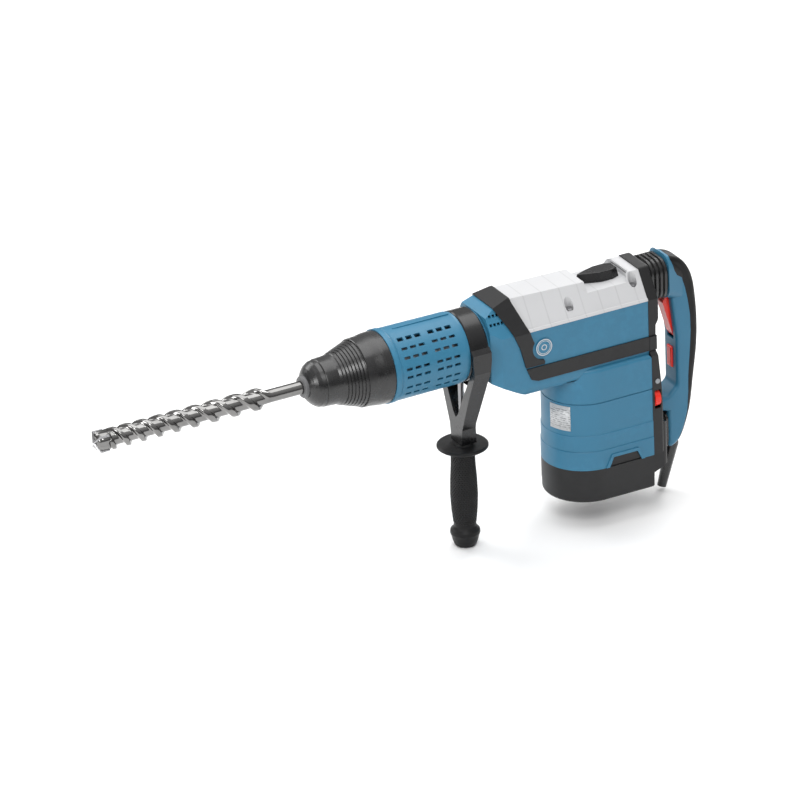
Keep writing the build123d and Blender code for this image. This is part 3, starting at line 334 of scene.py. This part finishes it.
def finish_edges(obj, width, segments, angle=30):
    """Rounds a piece's hard edges and keeps its flat faces flat."""
    bevel = obj.modifiers.new("edges", "BEVEL")
    bevel.width = width
    bevel.segments = segments
    bevel.limit_method = "ANGLE"
    bevel.angle_limit = math.radians(angle)
    bevel.harden_normals = True
    bpy.context.view_layer.objects.active = obj
    obj.select_set(True)
    bpy.ops.object.modifier_apply(modifier=bevel.name)
    obj.select_set(False)
    return obj


# ---- masonry bit: two flutes whose pitch grows towards the shank ----------------------------
def drill_bit():
    low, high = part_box("drill_bit")
    tip = low.x
    shank_end = high.x
    head_back = tip + 0.020
    flute_start = tip + 0.022
    flute_end = tip + 0.262
    run_out = 0.020
    shank_r = 0.009
    outer_r = 0.0150
    core_r = 0.0098
    around = 72
    rows = 420
    land_start = 0.35
    land_steepness = 9
    first_pitch = 0.040
    last_pitch = 0.070

    def turns(x):
        """Turns of the flute from its start, with a pitch that grows evenly."""
        along = max(0.0, x - flute_start)
        span = flute_end - flute_start
        growth = (last_pitch - first_pitch) / span
        return math.log(1 + growth * along / first_pitch) / growth

    verts = []
    for row in range(rows + 1):
        x = head_back + (shank_end - head_back) * row / rows
        fade = min(1, max(0, (flute_end - x) / run_out))
        fade = fade * fade * (3 - 2 * fade)
        body_r = shank_r + (core_r - shank_r) * fade
        for k in range(around):
            angle = 2 * math.pi * k / around
            phase = math.cos(2 * (angle - 2 * math.pi * turns(x)))
            land = 1 / (1 + math.exp(-(phase - land_start) * land_steepness))
            r = body_r + (outer_r - core_r) * land * fade
            verts.append((x, r * math.cos(angle), r * math.sin(angle)))
    faces = []
    for row in range(rows):
        for k in range(around):
            a = row * around + k
            b = row * around + (k + 1) % around
            faces.append((a, b, b + around, a + around))
    faces.append(tuple(range(around - 1, -1, -1)))
    faces.append(tuple(range(rows * around, (rows + 1) * around)))
    body = piece("bit_flutes", verts, faces, "drill", "polished_steel")
    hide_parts("drill_bit")
    bevelled_head(tip)


def bevelled_head(tip):
    """Cross-cut carbide head: a collar with two crossed, roof-shaped cutting plates."""
    around = 48
    scallop_depth = 0.10
    # Distance behind the tip, and radius.
    rings = [(0.0040, 0.0090), (0.0062, 0.0128), (0.0100, 0.0140), (0.0210, 0.0143), (0.0240, 0.0120)]
    verts = []
    for x, r in rings:
        for k in range(around):
            angle = 2 * math.pi * k / around
            scallop = 1 - scallop_depth * max(0, math.cos(4 * angle)) ** 2
            verts.append((tip + x, r * scallop * math.cos(angle), r * scallop * math.sin(angle)))
    last = (len(rings) - 1) * around
    faces = [tuple(range(around)), tuple(reversed(range(last, last + around)))]
    for ring in range(len(rings) - 1):
        for k in range(around):
            a = ring * around + k
            b = ring * around + (k + 1) % around
            faces.append((a, a + around, b + around, b))
    piece("bit_head", verts, faces, "drill", "polished_steel")
    half = 0.0017
    reach = 0.0158
    plate_back = 0.0195
    shoulder = 0.0048
    ridge_height = 0.0016
    for number, turn in enumerate((45, 135)):
        spin = Matrix.Rotation(math.radians(turn), 4, "X")
        outline = [
            (plate_back, -reach), (shoulder, -reach), (0.0, 0.0), (shoulder, reach), (plate_back, reach),
        ]
        verts = []
        for x, y in outline:
            ridge = ridge_height if x < plate_back else 0
            verts += [(tip + x + ridge, y, -half), (tip + x, y, 0), (tip + x + ridge, y, half)]
        verts = [spin @ Vector(v) for v in verts]
        count = len(outline)
        faces = []
        for k in range(count):
            a, b = 3 * k, 3 * ((k + 1) % count)
            faces += [(a, a + 1, b + 1, b), (a + 1, a + 2, b + 2, b + 1)]
        faces += [tuple(3 * k for k in reversed(range(count))), tuple(3 * k + 2 for k in range(count))]
        cutter = piece(f"carbide_plate_{number + 1}", verts, faces, "drill", "tool_steel", smooth=False)
        finish_edges(cutter, 0.0002, 2)


drill_bit()


# ---- side grip: rows of small raised dots on the rubber ---------------------------------------
def grip_dots():
    low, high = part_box("side_grip")
    middle = Vector(((low.x + high.x) / 2, 0, 0))
    # The grip's rubber: height and radius.
    profile = [
        (-0.156, 0.0156), (-0.176, 0.0162), (-0.198, 0.0176),
        (-0.222, 0.0182), (-0.244, 0.0170), (-0.262, 0.0150),
    ]

    def radius(z):
        for (z0, r0), (z1, r1) in zip(profile, profile[1:]):
            if z1 <= z <= z0:
                return r0 + (r1 - r0) * (z0 - z) / (z0 - z1)
        return profile[-1][1]

    verts, faces = [], []
    rows, columns, sides = 37, 26, 6
    first_row, last_row = -0.158, -0.260
    sink = 0.0001
    # Half width of a dot and its height, at its foot and at its top.
    steps = ((0.00125, 0), (0.0008, 0.0007))
    for row in range(rows):
        z = first_row + (last_row - first_row) * row / (rows - 1)
        r = radius(z) - sink
        for column in range(columns):
            angle = 2 * math.pi * (column + 0.5 * (row % 2)) / columns
            out = Vector((math.cos(angle), math.sin(angle), 0))
            side = Vector((-math.sin(angle), math.cos(angle), 0))
            base = len(verts)
            for size, lift in steps:
                for k in range(sides):
                    t = 2 * math.pi * k / sides
                    spot = out * (r + lift) + side * (size * math.cos(t))
                    verts.append(middle + spot + Vector((0, 0, z + size * math.sin(t))))
            faces += [
                (base + k, base + (k + 1) % sides, base + sides + (k + 1) % sides, base + sides + k)
                for k in range(sides)
            ]
            faces.append(tuple(base + sides + k for k in range(sides)))
            faces.append(tuple(base + k for k in reversed(range(sides))))
    piece("grip_dots", verts, faces, "grip", "black_rubber")


grip_dots()


# ---- rating plate: blank label wrapped round the motor column's front ---------------------------
def rating_plate():
    centre_x = 0.308
    radius = 0.05715
    thickness = 0.0003
    bottom, top = -0.150, -0.114
    first_angle, sweep = 190, 33
    columns = 24
    verts, faces = [], []
    for r in (radius, radius + thickness):
        for z in (bottom, top):
            for k in range(columns + 1):
                angle = math.radians(first_angle + sweep * k / columns)
                verts.append((centre_x + r * math.cos(angle), r * math.sin(angle), z))
    row = columns + 1
    for k in range(columns):
        faces.append((k, k + 1, row + k + 1, row + k))
        faces.append((2 * row + k, 3 * row + k, 3 * row + k + 1, 2 * row + k + 1))
        faces.append((k, 2 * row + k, 2 * row + k + 1, k + 1))
        faces.append((row + k, row + k + 1, 3 * row + k + 1, 3 * row + k))
    faces.append((0, row, 3 * row, 2 * row))
    faces.append((row - 1, 3 * row - 1, 4 * row - 1, 2 * row - 1))
    piece("rating_plate", verts, faces, "housing", "white_plastic", look="label_foil")


rating_plate()


# ---- stage, lights, camera -------------------------------------------------------------------
def studio():
    floor = bpy.data.meshes.new("floor")
    reach = 6.0
    gap = 0.0005
    z = cad_box[0][2] - gap
    corners = [(-reach, -reach, z), (reach, -reach, z), (reach, reach, z), (-reach, reach, z)]
    floor.from_pydata(corners, [], [(0, 1, 2, 3)])
    ground = bpy.data.objects.new("floor", floor)
    bpy.context.scene.collection.objects.link(ground)
    paper = bpy.data.materials.new("paper")
    paper.use_nodes = True
    shader = paper.node_tree.nodes["Principled BSDF"]
    shader.inputs["Base Color"].default_value = (0.93, 0.93, 0.93, 1)
    shader.inputs["Roughness"].default_value = 0.9
    floor.materials.append(paper)
    # The sky runs from dark grey below the horizon to white overhead.
    world = bpy.data.worlds.new("studio")
    world.use_nodes = True
    tree = world.node_tree
    split = tree.nodes.new("ShaderNodeSeparateXYZ")
    sky = tree.nodes.new("ShaderNodeMapRange")
    for socket, value in (("From Min", -0.1), ("From Max", 0.9), ("To Min", 0.10), ("To Max", 1.0)):
        sky.inputs[socket].default_value = value
    tree.links.new(tree.nodes.new("ShaderNodeTexCoord").outputs["Generated"], split.inputs[0])
    tree.links.new(split.outputs["Z"], sky.inputs["Value"])
    tree.links.new(sky.outputs["Result"], tree.nodes["Background"].inputs["Color"])
    tree.nodes["Background"].inputs["Strength"].default_value = 0.8
    bpy.context.scene.world = world
    bpy.context.scene.view_settings.view_transform = "Standard"
    middle = Vector((0.05, 0, -0.08))
    # Name, place, width in metres, power in watts.
    lamps = (
        ("key", (-0.5, -1.5, 1.7), 0.9, 20),
        ("top", (0.3, 0.5, 2.2), 2.4, 40),
        ("rim", (1.9, 1.3, 1.0), 0.9, 16),
        ("front", (-2.1, -0.5, 0.6), 0.7, 12),
        ("back", (-0.9, 2.0, 1.2), 1.2, 16),
    )
    for name, place, size, power in lamps:
        data = bpy.data.lights.new(name, "AREA")
        data.size = size
        data.energy = power
        lamp = bpy.data.objects.new(name, data)
        lamp.location = place
        lamp.rotation_euler = (middle - Vector(place)).to_track_quat("-Z", "Y").to_euler()
        bpy.context.scene.collection.objects.link(lamp)


def camera():
    """Long lens, from the nose's left and above, with a slight roll."""
    azimuth, elevation, roll = math.radians(-28), math.radians(26), math.radians(2)
    level = math.cos(elevation)
    back = Vector((math.sin(azimuth) * level, -math.cos(azimuth) * level, math.sin(elevation)))
    right = Vector((math.cos(azimuth), math.sin(azimuth), 0))
    up = back.cross(right)
    right, up = right * math.cos(roll) - up * math.sin(roll), up * math.cos(roll) + right * math.sin(roll)
    distance = 12.0
    # The nose's front face, on the spindle axis, sits this far left of and above the middle.
    nose = Vector((-0.117, 0, 0))
    target = nose + right * 0.1303 + up * -0.0165
    data = bpy.data.cameras.new("camera")
    data.lens = 410
    data.sensor_width = 36
    data.clip_end = 40
    cam = bpy.data.objects.new("camera", data)
    turn = Matrix((right, up, back)).transposed().to_4x4()
    turn.translation = target + back * distance
    cam.matrix_world = turn
    bpy.context.scene.collection.objects.link(cam)
    bpy.context.scene.camera = cam


studio()
camera()
